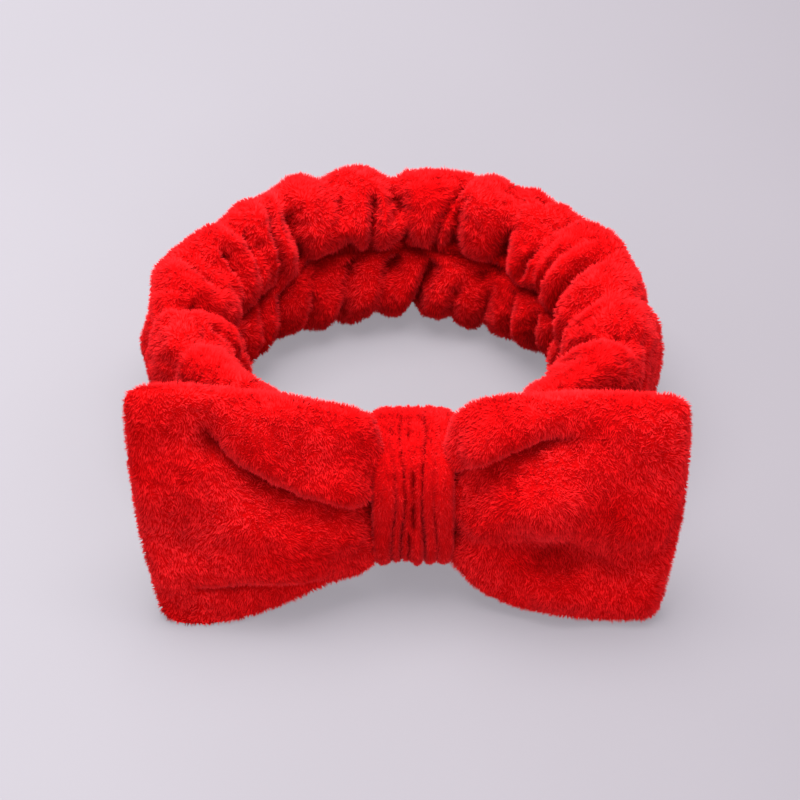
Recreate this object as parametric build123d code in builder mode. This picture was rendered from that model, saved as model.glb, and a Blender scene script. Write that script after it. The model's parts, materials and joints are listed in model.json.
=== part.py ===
from build123d import *
import os
from math import cos, radians, sin

# A spa headband, standing on the lower edge of its ring: a fleece sleeve gathered on a flat elastic,
# with a padded bow held in front by a pleated fleece knot.
# Millimetres and degrees. +X runs along the bow, the bow faces -Y, and +Z is up.
# The origin is the middle of the footprint, on the surface that the headband stands on.

# The ring, seen from above: two half ellipses about one centre
RING_Y = 12.2
OUTER_X, OUTER_BACK, OUTER_FRONT = 96.5, 84.0, 72.0
INNER_X, INNER_BACK, INNER_FRONT = 68.5, 56.0, 58.0
SLEEVE_HEIGHT = 66.0
SLEEVE_ROUND = 6.5
FLEECE = 5.0
STRETCH_GAP = 0.6

# The flat elastic inside the sleeve, against its inner wall
ELASTIC_WIDTH = 8.0
ELASTIC_THICK = 1.2
ELASTIC_PLAY = 0.3

# The knot, a strap that goes round the sleeve's gathered ends and the bow's waist
KNOT_WIDTH = 29.0
KNOT_FRONT, KNOT_BACK = 94.0, 52.2
KNOT_LOW, KNOT_HIGH = 12.0, 65.0
KNOT_WALL = 4.0
KNOT_ROUND = 9.0
KNOT_PLAY = 0.4

# The bow: its plane leans back from the vertical, and each wing flares forward from its hinge
BOW_Y, BOW_Z = -87.0, 35.5
LEAN = 15.0
FLARE = 4.8
HINGE_X = 22.2
ROOT_RADIUS = 7.0
WAIST_DEPTH, WAIST_HEIGHT = 12.0, 40.0
PANEL = 3.0
# Each section of a wing: its distance from the hinge, its middle above the bow's, its height and thickness
ROOT = (0.0, 3.0, 50.0, 14.0)
SHOULDER = (21.0, 6.0, 76.0, 22.0)
BELLY = (49.0, 10.0, 90.0, 22.0)
TIP = (73.0, 10.5, 91.0, 12.0)
TIP_SLANT = 7.6

THREAD = 0.8
TIE_THREAD = 1.0
STITCH_PITCH = 6.0


def keep(piece, name):
    """Labels a finished piece and writes it under its own name."""
    piece.part.label = name
    export_step(piece.part, f"parts/{name}.step")


def half_ellipses(half_width, back, front, mode=Mode.ADD):
    """Adds the face between two half ellipses, one behind the ring's centre and one before it."""
    with BuildLine() as outline:
        EllipticalCenterArc((0, RING_Y), half_width, back, 0, arc_size=180)
        EllipticalCenterArc((0, RING_Y), half_width, front, 180, arc_size=180)
    make_face(outline.edges(), mode=mode)


def outer_face(inset):
    """The ground that the sleeve's outer wall encloses, inset from that wall."""
    half_ellipses(OUTER_X - inset, OUTER_BACK - inset, OUTER_FRONT - inset)


def inner_face(depth, mode=Mode.SUBTRACT):
    """The head's opening, grown outwards by a depth into the sleeve's inner wall."""
    half_ellipses(INNER_X + depth, INNER_BACK + depth, INNER_FRONT + depth, mode)


def inner_strip(depth, thick, middle, width):
    """Adds a flat strip that follows the sleeve's inner wall at a depth inside it."""
    with BuildSketch(Plane.XY.offset(middle - width / 2)) as strip:
        inner_face(depth + thick, Mode.ADD)
        inner_face(depth)
    extrude(strip.sketch, amount=width)


def between(low, high, mode):
    """Combines the box between two corners with the part in hand."""
    size = [b - a for a, b in zip(low, high)]
    with Locations(low):
        Box(*size, align=(Align.MIN, Align.MIN, Align.MIN), mode=mode)


def keep_box(low, high):
    """Cuts the part in hand down to what lies between two corners."""
    between(low, high, Mode.INTERSECT)


def cut_box(low, high):
    """Takes the space between two corners out of the part in hand."""
    between(low, high, Mode.SUBTRACT)


FAR = 200.0
MIDDLE_Z = SLEEVE_HEIGHT / 2
KNOT_Z = (KNOT_LOW + KNOT_HIGH) / 2
FRONT_LIMIT = RING_Y - STRETCH_GAP / 2
BACK_LIMIT = RING_Y + STRETCH_GAP / 2
FRONT_RIGHT = ((0, -FAR, -FAR), (FAR, FRONT_LIMIT, FAR))
BACK = ((-FAR, BACK_LIMIT, -FAR), (FAR, FAR, FAR))
GATHER_X = KNOT_WIDTH / 2 + KNOT_PLAY
GATHER_LOW = KNOT_LOW + KNOT_WALL + KNOT_PLAY
GATHER_HIGH = KNOT_HIGH - KNOT_WALL - KNOT_PLAY

os.makedirs("parts", exist_ok=True)

# Blanks that the sleeve's arcs are cut from
with BuildPart() as sleeve_blank:
    with BuildSketch():
        outer_face(0)
        inner_face(0)
    extrude(amount=SLEEVE_HEIGHT)
    rims = sleeve_blank.edges().group_by(Axis.Z)
    fillet(rims[0] + rims[-1], SLEEVE_ROUND)

with BuildPart() as sleeve_hollow:
    with BuildSketch(Plane.XY.offset(FLEECE)):
        outer_face(FLEECE)
        inner_face(FLEECE)
    extrude(amount=SLEEVE_HEIGHT - 2 * FLEECE)
    hollow_rims = sleeve_hollow.edges().group_by(Axis.Z)
    fillet(hollow_rims[0] + hollow_rims[-1], SLEEVE_ROUND - FLEECE)
    # Inside the knot the fleece is bunched solid
    cut_box((-GATHER_X - FLEECE, -FAR, -FAR), (GATHER_X + FLEECE, RING_Y, FAR))

# The channel that the elastic runs in where the fleece is bunched
with BuildPart() as elastic_channel:
    inner_strip(FLEECE, ELASTIC_THICK + 2 * ELASTIC_PLAY, MIDDLE_Z, ELASTIC_WIDTH + 2 * ELASTIC_PLAY)

with BuildPart() as elastic_ring:
    inner_strip(FLEECE + ELASTIC_PLAY, ELASTIC_THICK, MIDDLE_Z, ELASTIC_WIDTH)

# The thread of the long seam, in the inner wall at mid height
with BuildPart() as seam_ring:
    inner_strip(FLEECE / 2 - THREAD / 2, THREAD, MIDDLE_Z, THREAD)

# The end seam's stitches cross the middle of the knot, joining the two ends of the sleeve
with BuildPart() as sleeve_end_seam:
    seam_y = RING_Y - (INNER_FRONT + OUTER_FRONT) / 2 - FLEECE / 2
    seam_count = int((GATHER_HIGH - GATHER_LOW) / STITCH_PITCH)
    with BuildSketch(Plane.YZ.offset(-STITCH_PITCH / 2)):
        with Locations((seam_y, KNOT_Z)):
            with GridLocations(0, STITCH_PITCH, 1, seam_count):
                Circle(THREAD / 2)
    extrude(amount=STITCH_PITCH)
keep(sleeve_end_seam, "sleeve_end_seam")

with BuildPart() as sleeve_front_right:
    add(sleeve_blank.part)
    add(sleeve_hollow.part, mode=Mode.SUBTRACT)
    add(elastic_channel.part, mode=Mode.SUBTRACT)
    add(seam_ring.part, mode=Mode.SUBTRACT)
    add(sleeve_end_seam.part, mode=Mode.SUBTRACT)
    keep_box(*FRONT_RIGHT)
    # The knot squeezes the sleeve's end from above and below
    cut_box((-FAR, -FAR, -FAR), (GATHER_X, FAR, GATHER_LOW))
    cut_box((-FAR, -FAR, GATHER_HIGH), (GATHER_X, FAR, FAR))
keep(sleeve_front_right, "sleeve_front_right")

with BuildPart() as sleeve_front_left:
    mirror(sleeve_front_right.part, about=Plane.YZ)
keep(sleeve_front_left, "sleeve_front_left")

with BuildPart() as sleeve_back:
    add(sleeve_blank.part)
    add(sleeve_hollow.part, mode=Mode.SUBTRACT)
    add(seam_ring.part, mode=Mode.SUBTRACT)
    keep_box(*BACK)
keep(sleeve_back, "sleeve_back")

# The elastic and the long seam's thread, each in the same three lengths as the sleeve
for ring, name in ((elastic_ring, "elastic"), (seam_ring, "sleeve_seam_thread")):
    with BuildPart() as front_right:
        add(ring.part)
        keep_box(*FRONT_RIGHT)
    keep(front_right, f"{name}_front_right")
    with BuildPart() as front_left:
        mirror(front_right.part, about=Plane.YZ)
    keep(front_left, f"{name}_front_left")
    with BuildPart() as back:
        add(ring.part)
        keep_box(*BACK)
    keep(back, f"{name}_back")

# The bow's waist, gathered flat inside the knot, and the thread wound round it
WAIST_FRONT = RING_Y - KNOT_FRONT + KNOT_WALL + KNOT_PLAY + TIE_THREAD
WAIST_Y = WAIST_FRONT + WAIST_DEPTH / 2
WAIST_X = KNOT_WIDTH / 2 - KNOT_PLAY
with BuildPart() as bow_waist:
    with Locations((0, WAIST_Y, KNOT_Z)):
        Box(2 * WAIST_X, WAIST_DEPTH, WAIST_HEIGHT)
    fillet(bow_waist.edges().filter_by(Axis.X), WAIST_DEPTH / 4)
keep(bow_waist, "bow_waist")

with BuildPart() as waist_tie_thread:
    with BuildSketch(Plane.YZ):
        with Locations((WAIST_Y, KNOT_Z)):
            RectangleRounded(WAIST_DEPTH + 2 * TIE_THREAD, WAIST_HEIGHT + 2 * TIE_THREAD, WAIST_DEPTH / 4)
    extrude(amount=2 * TIE_THREAD, both=True)
    for turn in (-1, 1):
        cut_box((turn * TIE_THREAD - 0.1, -FAR, -FAR), (turn * TIE_THREAD + 0.1, FAR, FAR))
    add(bow_waist.part, mode=Mode.SUBTRACT)
keep(waist_tie_thread, "waist_tie_thread")

# The knot's closing stitches, across the strap's overlap at its back
TACK_Y = RING_Y - KNOT_BACK
with BuildPart() as knot_tack_stitches:
    with BuildSketch(Plane.XZ.offset(-TACK_Y - THREAD)):
        with Locations((0, KNOT_Z)):
            with GridLocations(0, STITCH_PITCH, 1, 6):
                SlotOverall(STITCH_PITCH, THREAD)
    extrude(amount=FLEECE / 2)
keep(knot_tack_stitches, "knot_tack_stitches")

with BuildPart() as knot_wrap:
    with BuildSketch(Plane.YZ.offset(-KNOT_WIDTH / 2)):
        strap_y = RING_Y - (KNOT_FRONT + KNOT_BACK) / 2
        with Locations((strap_y, KNOT_Z)):
            RectangleRounded(KNOT_FRONT - KNOT_BACK, KNOT_HIGH - KNOT_LOW, KNOT_ROUND)
            Rectangle(
                KNOT_FRONT - KNOT_BACK - 2 * KNOT_WALL,
                KNOT_HIGH - KNOT_LOW - 2 * KNOT_WALL,
                mode=Mode.SUBTRACT,
            )
    extrude(amount=KNOT_WIDTH)
    add(knot_tack_stitches.part, mode=Mode.SUBTRACT)
keep(knot_wrap, "knot_wrap")

# The bow's plane: local x along the bow, local y up the lean, local z out of its front
UP = Vector(0, sin(radians(LEAN)), cos(radians(LEAN)))
FRONT = Vector(0, -cos(radians(LEAN)), sin(radians(LEAN)))
ALONG = Vector(cos(radians(FLARE)), 0, 0) + FRONT * sin(radians(FLARE))
WING = Plane(
    origin=(HINGE_X, BOW_Y + RING_Y, BOW_Z), x_dir=ALONG, z_dir=ALONG.cross(UP)
)


def wing_section(section, shrink=0.0, slant=0.0):
    """The rounded section of a wing, a face across the wing at its distance from the hinge."""
    distance, rise, height, thick = section
    across = UP * cos(radians(slant)) + ALONG * sin(radians(slant))
    out = ALONG * cos(radians(slant)) - UP * sin(radians(slant))
    origin = WING.from_local_coords(Vector(distance, rise, 0))
    corner = 0.45 * (thick - 2 * shrink)
    with BuildSketch(Plane(origin=origin, x_dir=across, z_dir=out)) as section_sketch:
        RectangleRounded(height - 2 * shrink, thick - 2 * shrink, corner)
    return section_sketch.sketch


def moved(section, by):
    """The same section, further along the wing."""
    return (section[0] + by, *section[1:])


with BuildPart() as wing_outside:
    loft(
        [
            wing_section(ROOT),
            wing_section(SHOULDER),
            wing_section(BELLY),
            wing_section(TIP, slant=TIP_SLANT),
        ]
    )
    # The root turns about the hinge, so it is round there
    root_half = ROOT[2] / 2 - ROOT_RADIUS * 0.9
    with BuildSketch(Plane(origin=WING.origin + UP * (ROOT[1] - root_half), z_dir=UP)):
        Circle(ROOT_RADIUS)
    extrude(amount=2 * root_half)

with BuildPart() as bow_wadding_right:
    loft(
        [
            wing_section(moved(ROOT, 2 * PANEL), PANEL),
            wing_section(SHOULDER, PANEL),
            wing_section(BELLY, PANEL),
            wing_section(moved(TIP, -2 * PANEL), PANEL, TIP_SLANT),
        ]
    )
keep(bow_wadding_right, "bow_wadding_right")

# Stitches that close the wing's outer end, through both of its panels
with BuildPart() as bow_end_seam_right:
    tip_up = UP * cos(radians(TIP_SLANT)) + ALONG * sin(radians(TIP_SLANT))
    tip_origin = WING.from_local_coords(Vector(TIP[0] - PANEL, TIP[1], 0)) - WING.z_dir * PANEL
    with BuildSketch(Plane(origin=tip_origin, x_dir=tip_up, z_dir=WING.z_dir)):
        with GridLocations(STITCH_PITCH, 0, int(TIP[2] / STITCH_PITCH) - 2, 1):
            Circle(THREAD / 2)
    extrude(amount=2 * PANEL)
keep(bow_end_seam_right, "bow_end_seam_right")

panels = {}
for side, half in (("front", Keep.TOP), ("back", Keep.BOTTOM)):
    with BuildPart() as panel:
        add(wing_outside.part)
        add(bow_wadding_right.part, mode=Mode.SUBTRACT)
        add(bow_end_seam_right.part, mode=Mode.SUBTRACT)
        split(bisect_by=WING, keep=half)
    keep(panel, f"bow_{side}_panel_right")
    panels[side] = panel

# The left wing mirrors the right one
right_wing = (
    (panels["front"], "bow_front_panel_left"),
    (panels["back"], "bow_back_panel_left"),
    (bow_wadding_right, "bow_wadding_left"),
    (bow_end_seam_right, "bow_end_seam_left"),
)
for right, name in right_wing:
    with BuildPart() as left:
        mirror(right.part, about=Plane.YZ)
    keep(left, name)
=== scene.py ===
import json
import math

import bpy
import numpy as np
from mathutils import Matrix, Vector


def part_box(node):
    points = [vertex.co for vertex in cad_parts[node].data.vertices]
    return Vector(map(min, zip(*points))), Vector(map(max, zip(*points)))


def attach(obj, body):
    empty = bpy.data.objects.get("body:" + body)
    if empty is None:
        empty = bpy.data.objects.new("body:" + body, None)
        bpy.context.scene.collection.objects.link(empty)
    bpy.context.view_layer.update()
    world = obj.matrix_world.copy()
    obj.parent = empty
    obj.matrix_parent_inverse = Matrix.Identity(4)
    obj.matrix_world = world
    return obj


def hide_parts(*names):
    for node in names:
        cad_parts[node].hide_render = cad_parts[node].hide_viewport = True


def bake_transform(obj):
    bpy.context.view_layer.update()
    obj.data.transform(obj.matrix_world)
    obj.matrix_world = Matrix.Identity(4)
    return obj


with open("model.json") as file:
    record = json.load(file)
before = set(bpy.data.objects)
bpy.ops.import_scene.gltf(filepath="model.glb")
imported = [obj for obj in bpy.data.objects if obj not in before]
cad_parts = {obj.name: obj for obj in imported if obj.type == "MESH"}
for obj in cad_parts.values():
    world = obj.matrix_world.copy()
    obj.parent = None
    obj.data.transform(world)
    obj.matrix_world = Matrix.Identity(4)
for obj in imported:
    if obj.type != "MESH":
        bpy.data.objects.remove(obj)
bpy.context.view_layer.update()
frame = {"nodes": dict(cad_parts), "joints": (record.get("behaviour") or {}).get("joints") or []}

MM = 0.001
WHITE = (1.0, 1.0, 1.0)
SCENE = bpy.context.scene

# ---------------------------------------------------------------- the camera and the light

ELEVATION = math.radians(44.0)
DISTANCE = 1.25
LENS = 148.5
AIM = Vector((-0.0020, 0.0, 0.0214))
FAR_CLIP = 20.0


def make_camera():
    """Looks straight at the bow's side, from above."""
    data = bpy.data.cameras.new("camera")
    data.lens = LENS
    data.clip_end = FAR_CLIP
    camera = bpy.data.objects.new("camera", data)
    SCENE.collection.objects.link(camera)
    back = Vector((0, -math.cos(ELEVATION), math.sin(ELEVATION)))
    camera.location = AIM + back * DISTANCE
    camera.rotation_euler = (math.pi / 2 - ELEVATION, 0, 0)
    SCENE.camera = camera


SKY_COLOUR = (0.93, 0.93, 1.0, 1.0)
SKY_STRENGTH = 1.45
LIGHTS = {
    # each light's place and size in metres, its power in watts and its colour
    "key": ((-0.12, 0.16, 1.35), 1.1, 62.0, (1.0, 0.98, 0.97)),
    "front": ((0.15, -1.5, 0.62), 1.2, 12.0, (1.0, 0.95, 0.96)),
}
LIGHTS_AIM = Vector((0.0, 0.0, 0.03))


def area_light(name, place, size, power, colour):
    """A soft square light at a place, turned to face the object."""
    data = bpy.data.lights.new(name, "AREA")
    data.shape = "SQUARE"
    data.size = size
    data.energy = power
    data.color = colour
    light = bpy.data.objects.new(name, data)
    light.location = place
    light.rotation_euler = (Vector(place) - LIGHTS_AIM).to_track_quat("Z", "Y").to_euler()
    SCENE.collection.objects.link(light)


def light_studio():
    """An even pale sky, a wide light overhead and a weak one in front."""
    SCENE.view_settings.view_transform = "Standard"
    world = bpy.data.worlds.new("studio")
    world.use_nodes = True
    sky = world.node_tree.nodes["Background"]
    sky.inputs["Color"].default_value = SKY_COLOUR
    sky.inputs["Strength"].default_value = SKY_STRENGTH
    SCENE.world = world
    for name, settings in LIGHTS.items():
        area_light(name, *settings)


# ---------------------------------------------------------------- materials


class Nodes:
    """A short way to write a material's nodes."""

    def __init__(self, name):
        self.material = bpy.data.materials.new(name)
        self.material.use_nodes = True
        self.tree = self.material.node_tree
        self.shader = self.tree.nodes["Principled BSDF"]

    def add(self, kind, **settings):
        """A new node with its inputs or its own properties set."""
        node = self.tree.nodes.new("ShaderNode" + kind)
        for key, value in settings.items():
            if key in node.inputs:
                node.inputs[key].default_value = value
            else:
                setattr(node, key, value)
        return node

    def link(self, out, to):
        self.tree.links.new(out, to)

    def ramp(self, fac, stops):
        """A colour ramp from a list of (place, colour)."""
        node = self.add("ValToRGB")
        for _ in range(len(stops) - 2):
            node.color_ramp.elements.new(0.5)
        for element, (place, colour) in zip(node.color_ramp.elements, stops):
            element.position = place
            element.color = (*colour, 1.0)
        self.link(fac, node.inputs["Fac"])
        return node.outputs["Color"]

    def position(self):
        return self.add("TexCoord").outputs["Object"]

    def noise(self, scale, detail=2.0, rough=0.5):
        node = self.add("TexNoise", Scale=scale, Detail=detail, Roughness=rough)
        self.link(self.position(), node.inputs["Vector"])
        return node.outputs["Fac"]

    def wave(self, scale, distortion, direction):
        node = self.add("TexWave", Scale=scale, Distortion=distortion, bands_direction=direction)
        self.link(self.position(), node.inputs["Vector"])
        return node

    def attribute(self, name):
        """A number that mark() gave the piece at each of its points."""
        return self.add("Attribute", attribute_name=name).outputs["Fac"]

    def mix(self, a, b, factor=1.0, blend="MULTIPLY"):
        """Mixes two colour sockets."""
        node = self.add("Mix", data_type="RGBA", blend_type=blend)
        node.inputs[0].default_value = factor
        self.link(a, node.inputs[6])
        self.link(b, node.inputs[7])
        return node.outputs[2]

    def bump(self, height, strength, distance):
        node = self.add("Bump", Strength=strength, Distance=distance)
        self.link(height, node.inputs["Height"])
        self.link(node.outputs["Normal"], self.shader.inputs["Normal"])

    def set(self, **values):
        """Sets the shader's own sockets; an underscore stands for a space."""
        for key, value in values.items():
            self.shader.inputs[key.replace("_", " ")].default_value = value


PATCH_SCALE, CLUMP_SCALE, GRAIN_SCALE = 38.0, 420.0, 1900.0
SHEEN_TINT = (1.0, 0.04, 0.05, 1.0)


def fleece(name, deep, mid, bright, root_shade=1.0):
    """Coral fleece: colour that wanders in patches and clumps, with painted shade down among the pile and in
    the hollows, with a sheen.
    """
    n = Nodes(name)
    patches = n.noise(PATCH_SCALE, 3.0, 0.55)
    clumps = n.noise(CLUMP_SCALE, 2.0, 0.6)
    grain = n.noise(GRAIN_SCALE, 1.0)
    body = n.ramp(patches, [(0.30, mid), (0.70, bright)])
    speck = n.ramp(clumps, [(0.30, (0.80, 0.72, 0.72)), (0.68, WHITE)])
    fine = n.ramp(grain, [(0.25, (0.88, 0.84, 0.84)), (0.70, WHITE)])
    # painted shade: darker down towards the tufts' roots among the pile
    depth = n.ramp(n.attribute("rise"), [(0.0, deep), (0.85, WHITE)])
    # painted shade: the fleece is painted darker in the creases and valleys that this mask marks
    shadow = n.ramp(n.attribute("hollow_shade"), [(0.10, WHITE), (0.90, (0.34, 0.24, 0.24))])
    # the tufts' random streaky tone, which on the knot also holds painted shade
    streak = n.ramp(n.attribute("tone"), [(0.0, (0.60, 0.48, 0.48)), (0.85, WHITE)])
    colour = n.mix(n.mix(body, speck), fine)
    colour = n.mix(colour, depth, root_shade)
    colour = n.mix(n.mix(colour, shadow), streak)
    n.link(colour, n.shader.inputs["Base Color"])
    rough = n.ramp(clumps, [(0.2, (0.78, 0.78, 0.78)), (0.8, (0.95, 0.95, 0.95))])
    n.link(rough, n.shader.inputs["Roughness"])
    n.bump(n.mix(clumps, grain, 0.4, "MIX"), 0.5, 0.6 * MM)
    n.set(Sheen_Weight=0.45, Sheen_Roughness=0.40, Sheen_Tint=SHEEN_TINT, Specular_IOR_Level=0.0)
    return n.material


def thread_material(name, colour):
    """Twisted sewing thread: a fine slanting twist in colour and bump."""
    n = Nodes(name)
    twist = n.wave(900.0, 1.5, "DIAGONAL").outputs["Fac"]
    dark = tuple(0.55 * c for c in colour)
    n.link(n.ramp(twist, [(0.2, dark), (0.8, colour)]), n.shader.inputs["Base Color"])
    n.bump(twist, 0.5, 0.2 * MM)
    n.set(Roughness=0.7, Specular_IOR_Level=0.1)
    return n.material


def knit_material(name, colour, shade):
    """White tape or wadding: fine ribs and fibres in a pale colour."""
    n = Nodes(name)
    ribs = n.wave(420.0, 0.6, "Z").outputs["Color"]
    pattern = n.mix(ribs, n.noise(900.0, 4.0, 0.7), 0.5, "MIX")
    n.link(n.ramp(pattern, [(0.2, shade), (0.8, colour)]), n.shader.inputs["Base Color"])
    n.bump(pattern, 0.4, 0.3 * MM)
    n.set(Roughness=0.85, Sheen_Weight=0.15)
    return n.material


# painted shade: the sheet is lighter on the left and darker on the right, where less light falls
FLOOR_LEFT, FLOOR_RIGHT = (0.100, 0.095, 0.104), (0.077, 0.071, 0.079)
FLOOR_FADE = 0.2
FLOOR_GLOW = 3.2


def floor_material():
    """A pale lavender-grey sheet, slightly mottled and painted darker to the right as painted shade, which
    glows a little so that its shadows stay soft.
    """
    n = Nodes("floor_sheet")
    split = n.add("SeparateXYZ")
    n.link(n.position(), split.inputs["Vector"])
    across = n.add("MapRange")
    n.link(split.outputs["X"], across.inputs["Value"])
    across.inputs["From Min"].default_value = -FLOOR_FADE
    across.inputs["From Max"].default_value = FLOOR_FADE
    # painted shade: the colour fades from the lighter left to the darker right
    base = n.ramp(across.outputs["Result"], [(0.0, FLOOR_LEFT), (1.0, FLOOR_RIGHT)])
    mottle = n.ramp(n.noise(6.0, 2.0), [(0.3, (0.97, 0.97, 0.97)), (0.7, WHITE)])
    sheet = n.mix(base, mottle)
    n.link(sheet, n.shader.inputs["Base Color"])
    n.link(sheet, n.shader.inputs["Emission Color"])
    n.set(Roughness=0.75, Specular_IOR_Level=0.2, Emission_Strength=FLOOR_GLOW)
    return n.material


# the root colours are painted shade down among the pile
PILE_ROOT_SHADE, PILE_MID, PILE_BRIGHT = (0.52, 0.40, 0.40), (0.80, 0.0040, 0.0052), (0.97, 0.0200, 0.0245)
BACKING_ROOT_SHADE, BACKING_MID, BACKING_BRIGHT = (0.5, 0.4, 0.4), (0.50, 0.0030, 0.0040), (0.62, 0.0040, 0.0050)
backing_red = fleece("fleece_backing", BACKING_ROOT_SHADE, BACKING_MID, BACKING_BRIGHT, 0.0)
pile_red = fleece("fleece_pile", PILE_ROOT_SHADE, PILE_MID, PILE_BRIGHT)
thread_red = thread_material("thread_red", (0.50, 0.006, 0.009))
elastic_white = knit_material("elastic_white", (0.86, 0.86, 0.84), (0.55, 0.55, 0.54))
wadding_white = knit_material("wadding_white", (0.90, 0.90, 0.88), (0.70, 0.70, 0.69))

# ---------------------------------------------------------------- mesh helpers


def mesh_object(name, points, faces, material):
    """A smooth-shaded object from arrays of points and of faces that all have the same number of corners."""
    points, faces = np.asarray(points, float), np.asarray(faces, int)
    mesh = bpy.data.meshes.new(name)
    mesh.vertices.add(len(points))
    mesh.vertices.foreach_set("co", points.ravel())
    corners = faces.shape[1]
    mesh.loops.add(faces.size)
    mesh.loops.foreach_set("vertex_index", faces.ravel())
    mesh.polygons.add(len(faces))
    mesh.polygons.foreach_set("loop_start", np.arange(len(faces)) * corners)
    mesh.update(calc_edges=True)
    mesh.validate()
    mesh.shade_smooth()
    mesh.materials.append(material)
    thing = bpy.data.objects.new(name, mesh)
    SCENE.collection.objects.link(thing)
    return thing


def mark(thing, name, values):
    """Gives a piece a number at each of its points, for its material to read."""
    values = np.ascontiguousarray(np.ravel(values), dtype=np.float32)
    thing.data.attributes.new(name, "FLOAT", "POINT").data.foreach_set("value", values)


def wrapped_grid(n, m, close_u=True):
    """Quads over an n by m grid of points, joined round its second direction and, with close_u, its first."""
    i, j = np.meshgrid(np.arange(n if close_u else n - 1), np.arange(m), indexing="ij")
    next_i, next_j = (i + 1) % n, (j + 1) % m
    quads = np.stack([i * m + j, next_i * m + j, next_i * m + next_j, i * m + next_j], -1)
    return quads.reshape(-1, 4)


def triangles_of(quads):
    return np.concatenate([quads[:, [0, 1, 2]], quads[:, [0, 2, 3]]])


def facing_out(points, quads):
    """The same quads, turned to face out of the closed shape that they make."""
    corners = points[triangles_of(quads)]
    volume = (np.cross(corners[:, 0], corners[:, 1]) * corners[:, 2]).sum()
    return quads if volume > 0 else quads[:, ::-1]


def smooth(x, a, b):
    """0 below a, 1 above b, and an even curve between."""
    t = np.clip((x - a) / (b - a), 0, 1)
    return t * t * (3 - 2 * t)


def squared(wave, power):
    """A cosine or sine whose rounded turn is made squarer by a power below 1."""
    return np.sign(wave) * np.abs(wave) ** power


def unit(v):
    """The same vectors with a length of 1."""
    return v / np.maximum(np.linalg.norm(v, axis=-1, keepdims=True), 1e-12)


def grid_normals(p, close_u=True):
    """Unit normals of a grid of points."""
    along_u = np.roll(p, -1, 0) - np.roll(p, 1, 0) if close_u else np.gradient(p, axis=0)
    return unit(np.cross(along_u, np.roll(p, -1, 1) - np.roll(p, 1, 1)))


WIDE_STEP, WIDE_SHARE = 4, 0.55


def hollows(p, normal, rounds_u, rounds_v, depth, close_u=True):
    """How far each point of a grid lies below its neighbourhood: 0 on open ground and 1 in a deep crease. Its
    near neighbourhood shows the creases, and a wide one the valleys."""
    # the fleece material paints shade into the creases and valleys from what this returns
    total = 0
    for step, share, lowest in ((1, 1.0, 0), (WIDE_STEP, WIDE_SHARE, -1)):
        flat = p.copy()
        for axis, rounds, close in ((0, rounds_u, close_u), (1, rounds_v, True)):
            for _ in range(rounds):
                if close:
                    flat = flat / 2 + (np.roll(flat, step, axis) + np.roll(flat, -step, axis)) / 4
                else:
                    held = np.pad(flat, ((step, step), (0, 0), (0, 0)), mode="edge")
                    flat = flat / 2 + (held[: -2 * step] + held[2 * step :]) / 4
        below = ((flat - p) * normal).sum(-1) / (depth * step)
        total = total + share * np.clip(below, lowest, 1)
    return np.clip(total, 0, 1)


def waves(points, size, seed, count=24):
    """Smooth noise in space, about -1 to 1, with features of a size: a sum of waves in random directions."""
    rng = np.random.default_rng(seed)
    k = unit(rng.normal(size=(count, 3))) * (2 * np.pi / size) * rng.uniform(0.6, 1.4, (count, 1))
    phase = rng.uniform(0, 2 * np.pi, count)
    total = np.cos(points.reshape(-1, 3) @ k.T + phase).sum(1)
    return total.reshape(points.shape[:-1]) * math.sqrt(2 / count)


def buckled(seed, shape, size, wave, across, steps=70):
    """Folds of a sheet squeezed along its first axis over a soft backing: about 1 on the crests and -1 in
    the creases. Crests branch and end as they do in gathered cloth. The first axis joins round."""
    rng = np.random.default_rng(seed)
    n, m = shape
    ku = 2 * np.pi * np.fft.fftfreq(n, size[0] / n)[:, None]
    kv = 2 * np.pi * np.fft.fftfreq(m, size[1] / m)[None, :]
    k0 = 2 * np.pi / wave
    growth = 0.6 - 1.5 * ((ku**2 - k0**2) / k0**2) ** 2 - across * (kv / k0) ** 2
    step = 0.5
    h = rng.normal(size=shape) * 0.5
    for _ in range(steps):
        h = np.fft.ifft2((np.fft.fft2(h) - step * np.fft.fft2(h**3)) / (1 - step * growth)).real
        h = np.clip(h, -1.5, 1.5)
    return np.clip(h / np.percentile(np.abs(h), 92), -1, 1)


def slanted(h, share):
    """The same pattern, sheared along its first axis."""
    return np.stack([np.roll(h[:, k], int(share * k)) for k in range(h.shape[1])], 1)


def creases(h):
    """Turns crests and troughs into round puffs (0) with narrow creases (1) between them."""
    return ((1 - h) / 2) ** 2.0


def section_line(m, half_thick, half_high, power=2.7):
    """A rounded section as m points evenly round it, outwards and up, from its inner side up over its top.
    Also returns the length round it."""
    t = np.linspace(np.pi, -np.pi, 2001)
    out = half_thick * squared(np.cos(t), 2 / power)
    up = half_high * squared(np.sin(t), 2 / power)
    run = np.concatenate([[0], np.cumsum(np.hypot(np.diff(out), np.diff(up)))])
    even = np.arange(m) * run[-1] / m
    return np.interp(even, run, out), np.interp(even, run, up), run[-1]


# ---------------------------------------------------------------- the pile

NAP = unit(np.array([0.25, -0.35, -1.0]))
PILE_SINK = 0.35 * MM
TUFT_CLEAR = 0.25 * MM
# the spacing, length and half width of the tufts on each part
SLEEVE_TUFTS = (0.72 * MM, 1.7 * MM, 0.30 * MM)
WING_TUFTS = (0.66 * MM, 1.7 * MM, 0.28 * MM)
KNOT_TUFTS = (0.62 * MM, 1.2 * MM, 0.28 * MM)
# the seeds of the tufts' random draws, and how much darker the knot's tufts are painted, as painted shade on
# the knot
SLEEVE_SEED, SLEEVE_SEED_STEP = 100, 20
WING_SEEDS = {"left": 380, "right": 400}
KNOT_SEED = 500
KNOT_PAINTED_SHADE = -0.45
STREAK, SMALL_CLUMP, LARGE_CLUMP, DRIFT = 1.7 * MM, 3.2 * MM, 8 * MM, 28.0 * MM


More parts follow.
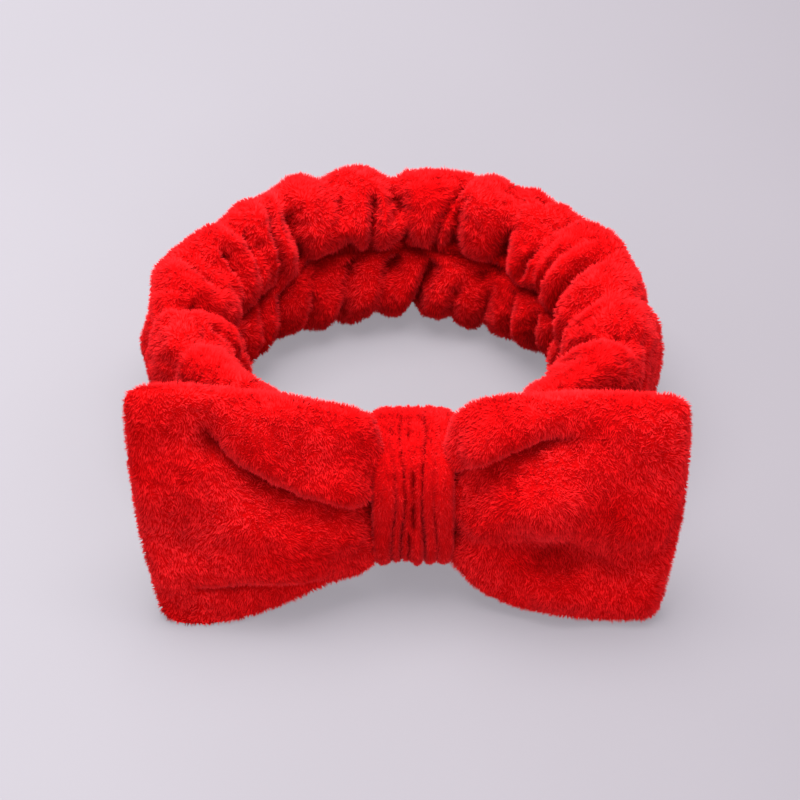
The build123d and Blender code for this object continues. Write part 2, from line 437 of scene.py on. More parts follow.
def scattered(rng, points, triangles, spacing):
    """Random places spread evenly over a surface: each one's triangle, its shares of the triangle's corners,
    its position and its surface normal."""
    corners = points[triangles]
    cross = np.cross(corners[:, 1] - corners[:, 0], corners[:, 2] - corners[:, 0])
    area = np.linalg.norm(cross, axis=1) / 2
    count = int(area.sum() / spacing**2)
    edges = np.cumsum(area)
    pick = np.searchsorted(edges, (np.arange(count) + rng.uniform(0, 1, count)) * edges[-1] / count)
    pick = np.minimum(pick, len(area) - 1)
    a, b = rng.uniform(0, 1, (2, count))
    flip = a + b > 1
    a[flip], b[flip] = 1 - a[flip], 1 - b[flip]
    weights = np.stack([1 - a - b, a, b], 1)[:, :, None]
    vertex_normals = np.zeros_like(points)
    for k in range(3):
        np.add.at(vertex_normals, triangles[:, k], cross)
    vertex_normals = unit(vertex_normals)
    root = (corners[pick] * weights).sum(1)
    normal = unit((vertex_normals[triangles[pick]] * weights).sum(1))
    return pick, weights, root, normal


def pile_lean(rng, root, normal, seed):
    """The way that each tuft leans along its surface: with the nap, drawn into clumps, wandering slowly."""
    clump = [waves(root, SMALL_CLUMP, seed + k) + waves(root, LARGE_CLUMP, seed + k + 9) for k in (1, 2, 3)]
    drift = [waves(root, DRIFT, seed + k) for k in (4, 5, 6)]
    lean = 0.55 * NAP + 0.27 * np.stack(clump, 1) + 0.25 * np.stack(drift, 1)
    lean = lean + 0.14 * rng.normal(size=root.shape)
    return lean - normal * (lean * normal).sum(1, keepdims=True)


def pile(name, points, triangles, hollow_shade, spacing, length, width, seed, tone_shift=0.0):
    """Tufts of fleece all over a surface, as one new piece: slim closed tetrahedra, sunk into the fabric."""
    rng = np.random.default_rng(seed)
    pick, weights, root, normal = scattered(rng, points, triangles, spacing)
    count = len(root)
    axis = unit(normal + pile_lean(rng, root, normal, seed))
    side = unit(np.cross(axis, rng.normal(size=(count, 3))))
    other = np.cross(axis, side)
    streaked = root - NAP * 0.65 * (root @ NAP)[:, None]  # stretches the pattern along the nap
    streak = waves(streaked, STREAK, seed + 8)
    reach = length * rng.uniform(0.8, 1.15, (count, 1)) * (1 + 0.13 * np.clip(streak, -1.5, 1.8)[:, None])
    wide = width * rng.uniform(0.75, 1.25, (count, 1))
    base = root - normal * PILE_SINK
    tuft = np.empty((count, 4, 3))
    for k in range(3):
        turn = 2 * np.pi * k / 3
        tuft[:, k] = base + wide * (math.cos(turn) * side + math.sin(turn) * other)
    tuft[:, 3] = root + axis * reach
    tuft[:, :, 2] = np.maximum(tuft[:, :, 2], TUFT_CLEAR)
    first = np.arange(count)[:, None] * 4
    faces = np.concatenate([first + [k, (k + 1) % 3, 3] for k in range(3)] + [first + [2, 1, 0]])
    piece = mesh_object(name, tuft.reshape(-1, 3), faces, pile_red)
    # rise runs from a tuft's root to its tip; the fleece paints shade at the roots from it
    mark(piece, "rise", np.tile([0.0, 0.0, 0.0, 1.0], count))
    # painted shade of the creases, carried from the surface to each tuft
    mark(piece, "hollow_shade", np.repeat((hollow_shade.ravel()[triangles[pick]] * weights[..., 0]).sum(1), 4))
    # tone varies at random in streaks, and tone_shift darkens the knot's tufts as painted shade
    tone = 0.58 + tone_shift + 0.20 * streak + 0.08 * waves(root, 5.0 * MM, seed + 9)
    mark(piece, "tone", np.repeat(np.clip(tone + 0.14 * rng.normal(size=count), 0, 1), 4))
    # The tufts are lit partly as the surface that they stand on, which is what makes pile look soft
    shade = unit(tuft - root[:, None]) * 0.35 + normal[:, None] * 0.9
    piece.data.normals_split_custom_set_from_vertices(unit(shade).reshape(-1, 3).tolist())
    return piece


# ---------------------------------------------------------------- the sleeve

ring_back, ring_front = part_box("sleeve_back"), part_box("sleeve_front_right")
STRETCH_GAP = 0.6 * MM
RING_Y = ring_back[0].y - STRETCH_GAP / 2
TUBE = 28.0 * MM
TUBE_FRONT = 14.0 * MM
CENTRE_X = ring_back[1].x - TUBE / 2
CENTRE_BACK = ring_back[1].y - RING_Y - TUBE / 2
CENTRE_FRONT = RING_Y - ring_front[0].y - TUBE_FRONT / 2
SLEEVE_HIGH = ring_back[1].z
KNOT_LOW, KNOT_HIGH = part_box("knot_wrap")
KNOT_Z = (KNOT_LOW.z + KNOT_HIGH.z) / 2
KNOT_X = 2.7 * MM
RING_X = -1.5 * MM
FABRIC_CLEAR = 0.6 * MM


def ring_line(n):
    """n points evenly along the ring's middle line, from the knot round by +X, with their outward directions
    and the line's length."""
    t = np.linspace(-np.pi / 2, 3 * np.pi / 2, 4001)
    reach = np.where(np.sin(t) > 0, CENTRE_BACK, CENTRE_FRONT)
    line = np.stack([RING_X + CENTRE_X * np.cos(t), RING_Y + reach * np.sin(t)], 1)
    run = np.concatenate([[0], np.cumsum(np.linalg.norm(np.diff(line, axis=0), axis=1))])
    even = np.arange(n) * run[-1] / n
    points = np.stack([np.interp(even, run, line[:, k]) for k in (0, 1)], 1)
    along = unit(np.roll(points, -1, 0) - np.roll(points, 1, 0))
    return points, np.stack([along[:, 1], -along[:, 0]], 1), run[-1]


SLEEVE_ALONG, SLEEVE_ROUND = 500, 120
HELD_HALF_HIGH = 22 * MM
RIM_IN, RIM_DOWN = 2.2 * MM, 1.2 * MM


def plain_sleeve(centre, outward, front, gathered):
    """The sleeve's tube without its folds: thin at the front, and low where the knot holds it."""
    half_thick = (TUBE / 2 * (1 - front) + TUBE_FRONT / 2 * front)[:, None]
    half_high = (SLEEVE_HIGH / 2 * (1 - gathered) + HELD_HALF_HIGH * gathered)[:, None] - RIM_IN
    middle = (SLEEVE_HIGH / 2 * (1 - gathered) + KNOT_Z * gathered)[:, None] - RIM_DOWN
    out, up, girth = section_line(SLEEVE_ROUND, TUBE / 2, SLEEVE_HIGH / 2)
    out, up = half_thick * (out / (TUBE / 2))[None], half_high * (up / (SLEEVE_HIGH / 2))[None]
    p = np.empty((SLEEVE_ALONG, SLEEVE_ROUND, 3))
    p[..., :2] = centre[:, None] + outward[:, None] * out[..., None]
    p[..., 2] = middle + up
    return p, girth


BROAD, CLOSE, FINE = 23 * MM, 15 * MM, 18 * MM
PUFF_DEPTH = 6.8 * MM
SEAM_RISE, SEAM_DEPTH, SEAM_REACH = 3.0 * MM, 5.5 * MM, 3.6 * MM
LOBE_OUT, SKIRT_OUT = 2.0 * MM, 8.0 * MM
SIDE_OUT_LEFT, SIDE_OUT_RIGHT = 6.5, 8.5


def gathers(seed, wave, across, slant, length, girth):
    """One pattern of gathers all over the sleeve, 0 on a puff and 1 in a crease. It is made over twice the
    girth, and only half of it is used, so it doesn't join round the tube."""
    h = buckled(seed, (SLEEVE_ALONG, 2 * SLEEVE_ROUND), (length, 2 * girth), wave, across)
    return creases(slanted(h[:, :SLEEVE_ROUND], slant))


def sleeve_folds(p, v, length, girth):
    """Broad and close gathers in patches, and finer ones on the inner wall below the seam."""
    broad = gathers(5, BROAD, 1.0, 0.20, length, girth)
    close = gathers(8, CLOSE, 1.2, -0.28, length, girth)
    fine = gathers(11, FINE, 0.8, -0.25, length, girth)
    share = smooth(waves(p, 38 * MM, 41), -0.4, 0.6)
    lower = smooth(v, 0.70, 0.80)[None]
    upper = np.maximum(broad * (1 - 0.55 * share), 0.80 * close * share)
    return upper * (1 - lower) + fine * (0.5 + 0.4 * share) * lower


def fold_depth(p, x, y, v, away):
    """How deep the gathers are: shallow near the bow and on the outer wall, none at the seam."""
    plain_left = 1 - 0.85 * smooth(-x, 8 * MM, 20 * MM) * smooth(-y, 18 * MM, 40 * MM)
    plain_right = 1 - 0.45 * smooth(x, 8 * MM, 20 * MM) * smooth(-y, 40 * MM, 58 * MM)
    inside = 0.38 + 0.62 * smooth(np.abs(v - 0.5), 0.16, 0.38)
    depth = (PUFF_DEPTH * plain_left * plain_right)[:, None] * inside[None]
    return depth * np.clip(1 + 0.40 * waves(p, 30 * MM, 3), 0.35, 1.5) * smooth(away, 0.0, 6 * MM)[None]


def fullness(x, v, away, front, gathered):
    """The sleeve's soft swelling: lobes beside the seam, fuller sides and a skirt at its lower edge."""
    far = np.abs(x) / CENTRE_X
    lobes = LOBE_OUT * (np.exp(-(((away - 15 * MM) / (8 * MM)) ** 2)))[None]
    sides = smooth(far, 0.35, 0.9) * np.where(x > 0, SIDE_OUT_RIGHT, SIDE_OUT_LEFT) * MM
    inner = np.exp(-((away / (24 * MM)) ** 2))[None] * sides[:, None]
    skirt = np.exp(-(((v - 0.86) / 0.085) ** 2))[None] * (1 - 0.8 * gathered)[:, None]
    skirt = skirt * (1 - 0.5 * front)[:, None]
    return lobes, inner, SKIRT_OUT * skirt * (1 - 0.6 * smooth(far, 0.3, 0.9))[:, None]


def sleeve_grid():
    """The sleeve as a grid of points, round the ring and round the tube, gathered into puffs and creases."""
    centre, outward, length = ring_line(SLEEVE_ALONG)
    x, y = (centre - [RING_X, RING_Y]).T
    front = smooth(-y / CENTRE_FRONT, 0.0, 1.0)
    gathered = (1 - smooth(np.abs(x), 14 * MM, 36 * MM)) * (y < 0)
    p, girth = plain_sleeve(centre, outward, front, gathered)
    normal = grid_normals(p)
    if (normal[0, 0, :2] @ outward[0]) > 0:  # the inner wall's normal looks into the ring
        normal = -normal

    v = (np.arange(SLEEVE_ROUND) / SLEEVE_ROUND - SEAM_RISE / girth) % 1.0
    away = np.minimum(v, 1 - v) * girth  # distance from the seam round the section
    lift = fold_depth(p, x, y, v, away) * (0.14 - sleeve_folds(p, v, length, girth))
    seam = SEAM_DEPTH * np.exp(-np.abs(away) / SEAM_REACH)[None] * (1 + 0.25 * waves(p, 20 * MM, 9))
    lift = lift + 1.1 * MM * waves(p, 30 * MM, 51)
    lobes, inner, skirt = fullness(x, v, away, front, gathered)
    lift = lift - seam + lobes + inner + skirt + 0.25 * MM * waves(p, 7 * MM, 21)
    p = p + normal * lift[..., None]
    p[..., 2] = np.maximum(p[..., 2], FABRIC_CLEAR)
    return p


PILE_SPLIT = RING_Y + 20 * MM


def make_sleeve():
    """The sleeve's fabric and its pile, which is split in four to keep each piece small."""
    grid = sleeve_grid()
    n, m = grid.shape[:2]
    normal = grid_normals(grid)
    if normal[n // 2, 0, 1] > 0:  # at the back, the inner wall faces -Y
        normal = -normal
    # painted shade for the sleeve's creases and valleys
    hollow_shade = hollows(grid, normal, 16, 12, 1.6 * MM)
    points = grid.reshape(-1, 3)
    quads = facing_out(points, wrapped_grid(n, m))
    sleeve = mesh_object("sleeve", points, quads, backing_red)
    mark(sleeve, "hollow_shade", hollow_shade)
    triangles = triangles_of(quads)
    pieces = [sleeve]
    middle = points[triangles].mean(1)
    at_back, at_left = middle[:, 1] > PILE_SPLIT, middle[:, 0] < 0
    parts = {
        "sleeve_pile_back_left": at_back & at_left,
        "sleeve_pile_back_right": at_back & ~at_left,
        "sleeve_pile_left": ~at_back & at_left,
        "sleeve_pile_right": ~at_back & ~at_left,
    }
    for k, (name, inside) in enumerate(parts.items()):
        seed = SLEEVE_SEED + SLEEVE_SEED_STEP * k
        pieces.append(pile(name, points, triangles[inside], hollow_shade, *SLEEVE_TUFTS, seed))
    for piece in pieces:
        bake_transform(piece)
    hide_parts("sleeve_front_left", "sleeve_front_right", "sleeve_back")


STRIP_WAVES = 46
# half the thickness, the shift and the wave of each strip
ELASTIC = (0.6 * MM, 1.5 * MM, 0.25 * MM)
SEAM_THREAD = (0.4 * MM, -0.6 * MM, 0.2 * MM)


def make_strip(name, node, material, slot, half_thick, shift, wave):
    """A closed strip round the inside of the sleeve, as high as the CAD lengths that it replaces. It lies a
    shift outside the ring's middle line, and waves about that."""
    low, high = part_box(f"{node}_back")
    n, m = 400, 12
    centre, outward, _ = ring_line(n)
    t = np.linspace(0, 2 * np.pi, m, endpoint=False)
    out = half_thick * squared(np.cos(t), 0.4)
    up = (high.z - low.z) / 2 * squared(np.sin(t), 0.4)
    shake = wave * np.sin(2 * np.pi * np.arange(n) / n * STRIP_WAVES)
    p = np.empty((n, m, 3))
    p[..., :2] = centre[:, None] + outward[:, None] * (out[None] + shake[:, None] + shift)[..., None]
    p[..., 2] = (high.z + low.z) / 2 + up
    points = p.reshape(-1, 3)
    strip = mesh_object(name, points, facing_out(points, wrapped_grid(n, m)), material)
    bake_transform(strip)
    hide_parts(f"{node}_back", f"{node}_front_left", f"{node}_front_right")


# ---------------------------------------------------------------- the bow

LEAN = math.radians(15.0)
UP = np.array([0, math.sin(LEAN), math.cos(LEAN)])
OUT = np.array([0, -math.cos(LEAN), math.sin(LEAN)])
joints = {j["name"]: j for j in frame["joints"]}
HINGE = np.array(joints["bow_right_fold"]["pos_m"])
SIGN = {"left": -1, "right": 1}
FLARE = math.radians(4.8)
FLARE_START = 15 * MM
REST_SOFT = 1.6 * MM
REST_PUSH = 0.75

# Distances below are in mm from the knot's middle and above the hinge
WINGS = {
    # the top edge, the bottom edge, and the end: how far out it is, the height where it is, and how it bows
    "left": {
        "top": [
            (0, 17), (8, 19), (11, 28), (14, 38.5), (19, 42.5), (26, 45), (36, 47.5), (48, 50.5),
            (64, 53.5), (80, 56.2), (102, 56.5),
        ],
        "bottom": [
            (0, -10), (8, -11), (12, -15), (15, -19.5), (19, -22.5), (26, -24), (36, -28), (48, -33),
            (64, -38.5), (80, -42), (102, -41),
        ],
        "end": (101.0, 50.0, 0.00142),
    },
    "right": {
        "top": [
            (0, 17), (8, 19), (11, 28), (14, 39), (19, 44.5), (27, 48), (43, 50.5), (65, 52.3), (100, 52.3),
        ],
        "bottom": [
            (0, -10), (8, -11), (12, -15), (15, -19.5), (24, -28), (35, -33), (50, -37), (69, -39.5),
            (100, -39.5),
        ],
        "end": (97.0, 39.0, 0.0015),
    },
}
THICKNESS = [(0, 4), (12, 5), (16, 7), (22, 10.5), (34, 12.5), (60, 12), (80, 10), (100, 8)]
FOLDS = {
    # each rolled-over crease: its line, the shares of the line between which it is fully open, how far its
    # lip stands out, how deep it is, how far its lip hangs, and how far its valley reaches below the line
    "left": [
        {
            "line": [(8, 10), (16, 12), (30, 14), (40, 16), (52, 23), (64, 31), (74, 41), (80, 48)],
            "fade": (0.05, 0.52),
            "roll": 4.0,
            "depth": 11.5,
            "hang": 3.6,
            "below": 9.5,
        },
        {
            "line": [(84, -24), (70, -21.5), (58, -20), (46, -20), (34, -22.5), (22, -27)],
            "fade": (0.3, 0.6),
            "roll": 2.0,
            "depth": 6.5,
            "hang": 2.4,
            "below": 5.0,
        },
    ],
    "right": [
        {
            "line": [(10, 18), (15, 21), (22, 26), (30, 31), (37, 34), (48, 37), (66, 39)],
            "fade": (0.05, 0.30),
            "roll": 3.4,
            "depth": 9.5,
            "hang": 3.0,
            "below": 8.5,
        },
    ],
}
SWELLS = {
    # each soft bulge of the front or, below 0, dent: its middle, its half width and height, and how far out
    "left": [
        ((46, 2), (22, 12), 4.0),
        ((76, -4), (14, 16), -2.5),
        ((72, 38), (7, 9), -4.0),
        ((88, 28), (10, 22), -1.0),
        ((24, -10), (9, 9), -2.0),
    ],
    "right": [
        ((36, 13), (24, 11), 4.5),
        ((46, -11), (30, 10), -4.6),
        ((78, -16), (16, 16), -1.8),
        ((14, -3), (4, 6), -4.0),
        ((50, 37), (16, 8), -3.5),
        ((74, 8), (16, 24), 2.0),
        ((56, -29), (26, 8), 2.0),
        ((26, -6), (12, 5), -2.5),
    ],
}
BACK_FOLDS = (-12, 4, 17)


def profile(s, stops):
    """A smooth curve through (place, value) stops."""
    place, value = np.array(stops, float).T
    slope = np.gradient(value, place)
    k = np.clip(np.searchsorted(place, s) - 1, 0, len(place) - 2)
    w = place[k + 1] - place[k]
    t = np.clip((s - place[k]) / w, 0, 1)
    a, b = 2 * t**3 - 3 * t**2 + 1, t**3 - 2 * t**2 + t
    return a * value[k] + b * w * slope[k] + (1 - a) * value[k + 1] + (t**3 - t**2) * w * slope[k + 1]


def trough(x, v, line, fade):
    """For a crease that follows a line: each point's distance from it, which side of it the point is on, and
    the crease's strength there. It fades in and out at the given shares of its length."""
    line = np.array(line, float) * MM
    best = np.full(x.shape, 1e9)
    along = np.zeros(x.shape)
    side = np.zeros(x.shape)
    lengths = np.linalg.norm(np.diff(line, axis=0), axis=1)
    run = np.concatenate([[0], np.cumsum(lengths)]) / lengths.sum()
    for k in range(len(line) - 1):
        a, d = line[k], line[k + 1] - line[k]
        t = np.clip(((x - a[0]) * d[0] + (v - a[1]) * d[1]) / (d @ d), 0, 1)
        dx, dv = x - a[0] - t * d[0], v - a[1] - t * d[1]
        gap = np.hypot(dx, dv)
        near = gap < best
        best = np.where(near, gap, best)
        along = np.where(near, run[k] + t * (run[k + 1] - run[k]), along)
        side = np.where(near, np.sign(dv), side)
    strength = smooth(along, -0.001, fade[0]) * (1 - smooth(along, fade[1], 1.001))
    return best, side, strength


def fold_over(x, v, line, fade, roll, depth, hang, below):
    """A crease whose upper lip rolls over it: how far it moves each point out of the bow's face and up it."""
    gap, above, strength = trough(x, v, line, fade)
    t = gap * above / MM
    lip = roll * np.exp(-(((t - 6) / 7) ** 2))
    groove = np.where(t > 0, np.exp(-((np.abs(t) / 2.6) ** 1.7)), np.exp(-((np.abs(t) / below) ** 1.5)))
    slip = np.exp(-(((t - 2) / np.where(t > 2, 5.0, 1.8)) ** 2))
    return strength * (lip - depth * groove) * MM, -strength * hang * slip * MM


def swell(x, v, place, size, height):
    """A soft bulge of the wing's face, or a dent, centred at a place."""
    far = -(((x / MM - place[0]) / size[0]) ** 2) - (((v / MM - place[1]) / size[1]) ** 2)
    return height * MM * np.exp(far)


def wing_shape(side, x, v, u):
    """Moves points of a plain wing (x from the knot, v up its plane, u out of its front) into its folds."""
    front = smooth(u, -1.0 * MM, 3.0 * MM)
    out, down = 0, 0
    for fold in FOLDS[side]:
        fold_out, fold_down = fold_over(x, v, **fold)
        out, down = out + fold_out, down + fold_down
    for bulge in SWELLS[side]:
        out = out + swell(x, v, *bulge)
    out = out * np.where(out > 0, smooth(x, 14 * MM, 24 * MM), smooth(x, 8 * MM, 15 * MM))
    u = u + front * out
    v = v + front * down * smooth(x, 10 * MM, 18 * MM)
    # the back panel has its own softer creases running out of the knot
    for rise in BACK_FOLDS:
        line = [(12, 10 + rise * 0.7), (30, 10 + rise), (56, 10 + rise * 1.5)]
        gap, _, strength = trough(x, v, line, (0.1, 0.4))
        u = u + (1 - front) * strength * 4.0 * MM * np.exp(-gap / (4.0 * MM))
    return v, u


ROOT_IN, ROOT_ROUND, END_ROUND, CORNER = 8 * MM, 4.0 * MM, 8 * MM, 5 * MM


def wing_grid(side, n=190, m=250, shrink=0.0, creased=True):
    """A wing as a grid: n from inside the knot to the closed end, m round its section."""
    shape = WINGS[side]
    end, widest, bow = shape["end"]
    s = 1 - (1 - np.linspace(0, 1, n)) ** 1.25
    start = ROOT_IN + 1.6 * shrink
    span = end * MM - start - shrink
    reach = start + s * span
    top = profile(reach / MM, shape["top"]) * MM - shrink
    bottom = profile(reach / MM, shape["bottom"]) * MM + shrink
    round_in = np.clip((reach - (start + span - END_ROUND)) / END_ROUND, 0, 1)
    closing = np.sqrt(np.maximum(1 - round_in**2, 0.0))
    corner = CORNER * (1 - closing)
    opening = np.sqrt(np.clip(1 - (1 - (reach - start) / ROOT_ROUND) ** 2, 0, 1))
    opening = np.where(reach < start + ROOT_ROUND, opening, 1)
    thick = profile(reach / MM, THICKNESS) * MM
    thick = np.maximum((thick - shrink) * closing * opening, 0.02 * MM)
    out, up, _ = section_line(m, 1.0, 1.0, 2.35)
    half, middle = (top - corner - bottom - corner) / 2, (top + bottom) / 2
    v = middle[:, None] + half[:, None] * up[None]
    u = thick[:, None] * out[None]
    lean_in = bow * (widest * MM - v) ** 2 / MM
    x = reach[:, None] - lean_in * s[:, None] ** 1.5
    return x, *(wing_shape(side, x, v, u) if creased else (v, u))


def place_wing(side, x, v, u):
    """Puts points of a wing in the frame's own coordinates, with its lower edge resting on the floor."""
    forward = u + np.sin(FLARE) * np.maximum(x - FLARE_START, 0)
    origin = np.array([KNOT_X, HINGE[1], HINGE[2]])
    p = origin + UP * v[..., None] + OUT * forward[..., None]
    p[..., 0] += SIGN[side] * x
    rested = REST_SOFT * np.logaddexp(0, (p[..., 2] - FABRIC_CLEAR) / REST_SOFT) + FABRIC_CLEAR
    p[..., 1] -= REST_PUSH * (rested - p[..., 2])  # the lower edge is pushed forward where it rests
    p[..., 2] = rested
    return p


def bend_with(side, *pieces):
    """Bakes each piece's placement into its points."""
    for piece in pieces:
        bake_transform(piece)


def make_wing(side):
    """One wing's fabric and pile."""
    x, v, u = wing_grid(side)
    grid = place_wing(side, x, v, u)
    normal = grid_normals(grid, close_u=False)
    inner = smooth(np.abs(u), 2 * MM, 8 * MM)
    dents = 0.15 * MM * waves(grid, 11 * MM, 31) + 0.9 * MM * waves(grid, 32 * MM, 33)
    grid = grid + normal * (inner * dents)[..., None]
    grid[..., 2] = np.maximum(grid[..., 2], FABRIC_CLEAR)
    n, m = grid.shape[:2]
    points = grid.reshape(-1, 3)
    quads = facing_out(points, wrapped_grid(n, m, close_u=False))
    normal = grid_normals(grid, close_u=False)
    if (normal * (grid - grid.mean((0, 1)))).sum() < 0:
        normal = -normal
    # painted shade for the wing's creases and valleys
    hollow_shade = hollows(grid, normal, 60, 16, 1.8 * MM, close_u=False)
    wing = mesh_object(f"bow_wing_{side}", points, quads, backing_red)
    mark(wing, "hollow_shade", hollow_shade)
    tufts = pile(f"bow_pile_{side}", points, triangles_of(quads), hollow_shade, *WING_TUFTS, WING_SEEDS[side])
    bend_with(side, wing, tufts)
    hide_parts(f"bow_front_panel_{side}", f"bow_back_panel_{side}")


WADDING_IN, WADDING_BACK = 6.5 * MM, -4.0 * MM


def make_wadding(side):
    """The filling inside a wing, kept clear of the wing's creases."""
    n, m = 90, 110
    x, v, u = wing_grid(side, n, m, WADDING_IN)
    plain = wing_grid(side, n, m, WADDING_IN, creased=False)[2]
    u = np.where(plain > 0, np.maximum(u, np.maximum(WADDING_BACK, -plain)), plain)
    points = place_wing(side, x, v, u).reshape(-1, 3)
    quads = facing_out(points, wrapped_grid(n, m, close_u=False))
    wadding = mesh_object(f"bow_wadding_{side}_fill", points, quads, wadding_white)
    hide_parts(f"bow_wadding_{side}")
    bend_with(side, wadding)


THREAD = 0.4 * MM
THREAD_SIDES = 8


def stitches(name, middle, half):
    """Short round stitches as one piece: each lies from its middle minus its half to its middle plus it."""
    sides, count = THREAD_SIDES, len(middle)
    along = unit(half)
    side = unit(np.cross(along, [0.3, 0.1, 1.0]))
    other = np.cross(along, side)
    turn = 2 * np.pi * np.arange(sides) / sides
    ring = THREAD * (np.cos(turn)[:, None] * side[:, None] + np.sin(turn)[:, None] * other[:, None])
    ends = np.stack([middle - half, middle + half], 1)[:, :, None] + ring[:, None]
    caps = np.stack([middle - half - along * THREAD / 2, middle + half + along * THREAD / 2], 1)
    points = np.concatenate([ends.reshape(count, -1, 3), caps], 1)
    faces = []
    for k in range(sides):
        after = (k + 1) % sides
        faces += [(k, after, sides + after), (k, sides + after, sides + k)]
        faces += [(2 * sides, after, k), (2 * sides + 1, sides + k, sides + after)]
    size = 2 * sides + 2
    faces = (np.arange(count)[:, None, None] * size + np.array(faces)).reshape(-1, 3)
    piece = mesh_object(name, points.reshape(-1, 3), faces, thread_red)
    return piece


SEAM_IN = 3.0 * MM
SEAM_LOW, SEAM_HIGH, SEAM_PITCH = -34.0, 50.0, 6.0
STITCH_HALF = 2.0 * MM


def make_end_seam(side):
    """The stitches that close a wing's outer end."""
    rise = np.arange(SEAM_LOW, SEAM_HIGH, SEAM_PITCH) * MM
    end, widest, bow = WINGS[side]["end"]
    x = end * MM - bow * (widest * MM - rise) ** 2 / MM - SEAM_IN
    middle = place_wing(side, x, rise, np.zeros(len(rise)))
    half = np.tile(OUT * STITCH_HALF, (len(rise), 1))
    seam = stitches(f"bow_end_seam_{side}_thread", middle, half)
    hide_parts(f"bow_end_seam_{side}")
    bend_with(side, seam)


# ---------------------------------------------------------------- the knot and the waist inside it

KNOT_MIDDLE, KNOT_HALF_HIGH = 37.5 * MM, 23.0 * MM
KNOT_TILT = np.radians(6)
# each pleat's place across the strap, its depth and its width, in mm
PLEATS = ((-7.4, 2.9, 1.3), (-3.8, 3.8, 1.1), (-0.6, 3.8, 1.1), (3.7, 3.8, 1.1), (8.4, 2.0, 1.6))
PLEAT_WANDER = 0.9 * MM
STRAP_OUT, STRAP_BACK, STRAP_CROWN = 3.4 * MM, 3.0 * MM, 1.6 * MM


def knot_pleats(x, loop, in_front):
    """How deep the strap's pleats are: deepest low down in front."""
    n = len(loop)
    low = smooth(KNOT_MIDDLE + 14 * MM - loop[:, 1], 0.0, 20 * MM)
    strength = 0.45 + in_front * (0.25 + 0.75 * low)
    wander = PLEAT_WANDER * np.sin(2 * np.pi * np.arange(n) / n * 3)
    pleats = np.zeros((n, len(x)))
    for place, depth, width in PLEATS:
        gap = np.abs(x[None] - place * MM - wander[:, None] * (1 if place < 0 else -0.7))
        pleats += depth * MM * np.exp(-gap / (width * MM)) * strength[:, None]
    return pleats


def make_knot(n=220, m=200):
    """The pleated strap: n points round its loop and m round its own section."""
    half_y = (KNOT_HIGH.y - KNOT_LOW.y) / 2 - 1.5 * MM
    half_x = (KNOT_HIGH.x - KNOT_LOW.x) / 2 + 0.5 * MM
    centre_y = (KNOT_HIGH.y + KNOT_LOW.y) / 2
    out, up, _ = section_line(n, half_y, KNOT_HALF_HIGH, 3.0)
    y, z = centre_y + out, KNOT_MIDDLE + up
    tilt = np.tan(KNOT_TILT) * (z - KNOT_MIDDLE) * smooth(centre_y - y, 0.0, half_y)
    loop = np.stack([y + tilt, z], 1)
    along = unit(np.roll(loop, -1, 0) - np.roll(loop, 1, 0))
    outward = np.stack([-along[:, 1], along[:, 0]], 1)
    if outward[n // 2] @ (loop[n // 2] - [centre_y, KNOT_MIDDLE]) < 0:
        outward = -outward
    b = np.linspace(0, 2 * np.pi, m, endpoint=False)
    wide, deep = squared(np.cos(b), 0.62), squared(np.sin(b), 0.62)
    x = half_x * wide
    in_front = smooth(centre_y - loop[:, 0], 0.2 * half_y, 0.9 * half_y)
    pleats = knot_pleats(x, loop, in_front) * smooth(deep, 0.3, 1.0)[None]
    rise = np.where(deep > 0, STRAP_OUT, STRAP_BACK) * deep
    crown = STRAP_CROWN * (1 - wide**2) * (deep > 0)
    height = rise[None] + crown[None] - pleats
    p = np.empty((n, m, 3))
    p[..., 0] = KNOT_X + x[None] * (1 - 0.05 * in_front[:, None])
    p[..., 1] = loop[:, :1] + outward[:, :1] * height
    p[..., 2] = loop[:, 1:] + outward[:, 1:] * height
    points = p.reshape(-1, 3)
    quads = facing_out(points, wrapped_grid(n, m))
    normal = grid_normals(p)
    if normal[n // 2, m // 4] @ (p[n // 2, m // 4] - [KNOT_X, centre_y, KNOT_MIDDLE]) < 0:
        normal = -normal
    # painted shade for the knot's pleats
    hollow_shade = hollows(p, normal, 10, 6, 0.6 * MM)
    knot = mesh_object("knot_strap", points, quads, backing_red)
    mark(knot, "hollow_shade", hollow_shade)
    tufts = pile("knot_pile", points, triangles_of(quads), hollow_shade, *KNOT_TUFTS, KNOT_SEED, KNOT_PAINTED_SHADE)
    for piece in (knot, tufts):
        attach(piece, "front")
    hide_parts("knot_wrap")


WAIST_IN = 1.5 * MM
WAIST_PLEATS = 11
TIE_THREAD, TIE_SIDES = 0.9 * MM, 10
TIE_PLACES = (-1.1, 1.1)


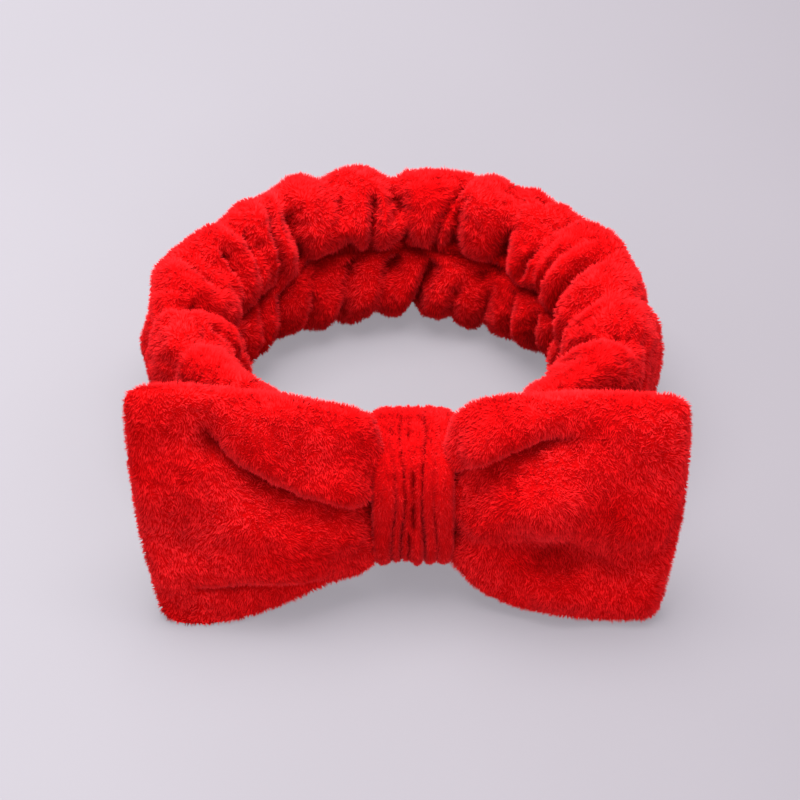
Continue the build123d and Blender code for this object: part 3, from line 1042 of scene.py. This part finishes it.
def make_waist(n=40, m=120):
    """The bow's gathered waist inside the knot, and the two turns of thread that tie it."""
    low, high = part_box("bow_waist")
    half_y, half_z = (high.y - low.y) / 2, (high.z - low.z) / 2 - WAIST_IN
    out, up, _ = section_line(m, half_y, half_z, 3.0)
    pleat = 1 + 0.07 * np.cos(np.arange(m) * 2 * np.pi * WAIST_PLEATS / m)
    x = np.linspace(-1, 1, n)
    tied = 1 - 0.10 * np.exp(-((x / 0.16) ** 2))
    closing = (np.clip((1 - np.abs(x)) / 0.08, 0, 1) ** 0.5 * tied)[:, None]
    p = np.empty((n, m, 3))
    p[..., 0] = KNOT_X + ((high.x - low.x) / 2 - WAIST_IN) * x[:, None]
    p[..., 1] = (high.y + low.y) / 2 + out * pleat * closing
    p[..., 2] = KNOT_MIDDLE + up * pleat * closing
    points = p.reshape(-1, 3)
    quads = facing_out(points, wrapped_grid(n, m, close_u=False))
    waist = mesh_object("bow_waist_gather", points, quads, backing_red)
    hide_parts("bow_waist")

    turn = 2 * np.pi * np.arange(TIE_SIDES) / TIE_SIDES
    ring = np.stack([out * 0.97, up * 0.97], 1)
    outward = unit(ring)
    loops = []
    for place in TIE_PLACES:
        loop = np.empty((m, TIE_SIDES, 3))
        loop[..., 0] = KNOT_X + place * MM + TIE_THREAD * np.cos(turn)
        loop[..., 1] = (high.y + low.y) / 2 + ring[:, :1] + outward[:, :1] * TIE_THREAD * np.sin(turn)
        loop[..., 2] = KNOT_MIDDLE + ring[:, 1:] + outward[:, 1:] * TIE_THREAD * np.sin(turn)
        loops.append(loop.reshape(-1, 3))
    quads = facing_out(loops[0], wrapped_grid(m, TIE_SIDES))
    quads = np.concatenate([quads, quads + m * TIE_SIDES])
    tie = mesh_object("waist_tie_turns", np.concatenate(loops), quads, thread_red)
    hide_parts("waist_tie_thread")
    for piece in (waist, tie):
        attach(piece, "front")


# ---------------------------------------------------------------- the carried-over CAD nodes and the floor


def finish_of(name):
    """The material of a CAD node, from its name."""
    if name.startswith("elastic"):
        return elastic_white
    if "seam" in name or "thread" in name or "stitches" in name:
        return thread_red
    return wadding_white if "wadding" in name else pile_red


def finish_nodes():
    for name, thing in frame["nodes"].items():
        for slot in thing.material_slots:
            slot.link = "OBJECT"
            slot.material = finish_of(name)


FLOOR_HALF = 3.0


def make_floor():
    side = FLOOR_HALF
    corners = [(-side, -side, 0), (side, -side, 0), (side, side, 0), (-side, side, 0)]
    floor = mesh_object("floor", corners, [(0, 1, 2, 3)], floor_material())


# ---------------------------------------------------------------- the whole scene

make_camera()
light_studio()
make_sleeve()
make_strip("elastic_band", "elastic", elastic_white, "white_elastic", *ELASTIC)
make_strip("sleeve_seam_thread", "sleeve_seam_thread", thread_red, "red_thread", *SEAM_THREAD)
for wing_side in SIGN:
    make_wing(wing_side)
    make_wadding(wing_side)
    make_end_seam(wing_side)
make_knot()
make_waist()
finish_nodes()
make_floor()
